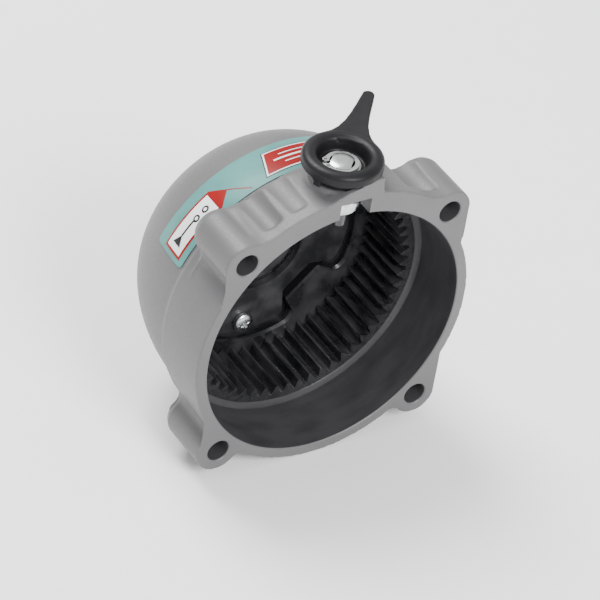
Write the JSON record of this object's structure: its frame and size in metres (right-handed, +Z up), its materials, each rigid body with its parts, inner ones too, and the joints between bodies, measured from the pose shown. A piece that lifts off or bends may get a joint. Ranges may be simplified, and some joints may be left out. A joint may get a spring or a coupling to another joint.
{
  "type": "winch gear housing",
  "caption": "Round cast gear-end housing of a small planetary winch, open at the flange, with an internal ring gear, a bearing plate and a rotary clutch lever on top.",
  "frame": {"origin": "centre of the flange face, on the axis of the gear bore", "axes": "+Y into the housing along the gear bore, away from the open flange face; +Z up to the clutch lever; +X to the right for someone looking into the opening"},
  "size_m": [0.115, 0.0795, 0.131],
  "materials": {
    "cast_grey": "satin grey paint over cast aluminium",
    "gear_black": "dark sintered steel, greased",
    "plate_black": "black oxide, greased",
    "zinc": "bright zinc plating",
    "bearing_steel": "ground steel",
    "lever_black": "satin black powder coat",
    "rubber": "matt",
    "bronze": "plain bronze",
    "label_teal": "printed film"
  },
  "bodies": {
    "housing": {"gear_housing": "cast_grey", "ring_gear": "gear_black", "retainer_plate": "plate_black", "plate_screw_1": "zinc", "plate_screw_2": "zinc", "bearing_outer_ring": "bearing_steel", "bearing_shield_front": "plate_black", "bearing_shield_rear": "plate_black", "shaft_bush": "bronze", "shaft_o_ring": "rubber", "shaft_wave_spring": "bearing_steel", "side_label": "label_teal"},
    "lever": {"clutch_lever": "lever_black", "shift_shaft": "zinc", "shift_pin": "zinc", "lever_washer": "zinc", "lever_circlip": "zinc"},
    "bearing_inner": {"bearing_inner_ring": "bearing_steel"},
    "bearing_cage_set": {"bearing_cage": "bronze", "bearing_ball_1": "zinc", "bearing_ball_2": "zinc", "bearing_ball_3": "zinc", "bearing_ball_4": "zinc", "bearing_ball_5": "zinc", "bearing_ball_6": "zinc", "bearing_ball_7": "zinc", "bearing_ball_8": "zinc"}
  },
  "joints": [
    {"name": "clutch_lever_turn", "type": "hinge", "parent": "housing", "child": "lever", "pos_m": [0, 0.0125, 0.067], "axis": [0, 0, 1], "range_deg": [0, 84]},
    {"name": "bearing_inner_spin", "type": "hinge", "parent": "housing", "child": "bearing_inner", "pos_m": [0, 0.0613, 0], "axis": [0, 1, 0], "continuous": true},
    {"name": "bearing_cage_orbit", "type": "hinge", "parent": "housing", "child": "bearing_cage_set", "pos_m": [0, 0.0613, 0], "axis": [0, 1, 0], "continuous": true}
  ],
  "couplings": [
    {"joint": "bearing_cage_orbit", "follows": "bearing_inner_spin", "ratio": 0.4032}
  ]
}
